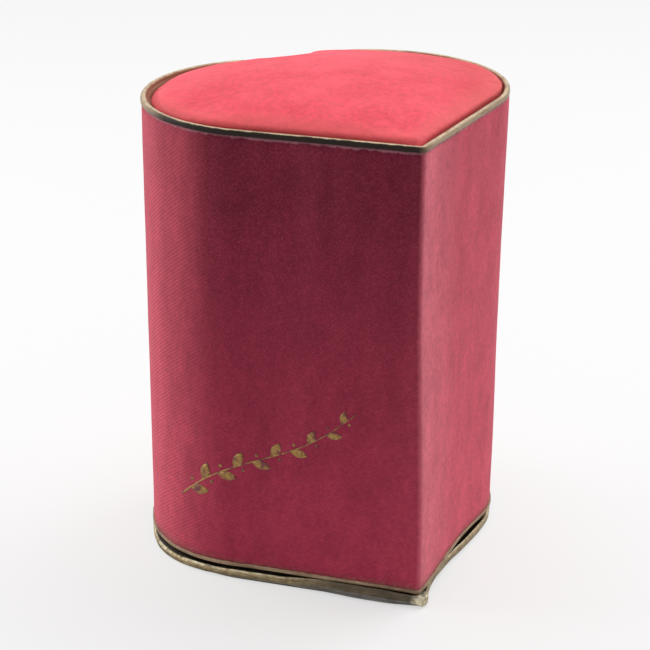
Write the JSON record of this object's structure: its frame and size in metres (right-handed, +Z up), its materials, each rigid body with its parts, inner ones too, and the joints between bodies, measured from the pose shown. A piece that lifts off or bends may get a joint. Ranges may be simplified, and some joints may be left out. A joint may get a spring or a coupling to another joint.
{
  "type": "covered bobbin box",
  "caption": "Heart-shaped box for sewing notions: a cloth-covered cover with a padded satin top inside a foil rim lifts off a foil-edged base with an inner cup.",
  "frame": {"origin": "on the table, under the middle of the base's bounding box", "axes": "+Z up, -Y towards the heart's tip, +X to the right seen from the tip"},
  "size_m": [0.0808, 0.0776, 0.1056],
  "materials": {
    "ribbed_cloth": "fine slanted rib with a soft sheen",
    "satin": "satin with a mottled sheen",
    "gold_foil": "metallic gold foil paper, tarnished",
    "lining_paper": "matt ivory paper",
    "grey_board": "raw grey board",
    "under_card": "matt grey card",
    "wadding": "soft cotton wadding"
  },
  "bodies": {
    "base": {"base_board": "grey_board", "base_foil": "gold_foil", "base_underside_card": "under_card", "cup_board": "grey_board", "cup_outer_paper": "lining_paper", "cup_lining": "lining_paper", "cup_floor_card": "lining_paper"},
    "cover": {"wall_board": "grey_board", "side_cloth": "ribbed_cloth", "wall_lining": "lining_paper", "rim_foil": "gold_foil", "hem_foil": "gold_foil", "top_board": "grey_board", "ceiling_paper": "lining_paper", "pad_card": "grey_board", "pad_wadding": "wadding", "pad_cloth": "satin"}
  },
  "joints": [
    {"name": "cover_lift", "type": "slide", "parent": "base", "child": "cover", "axis": [0, 0, 1], "range_m": [0, 0.09]}
  ]
}
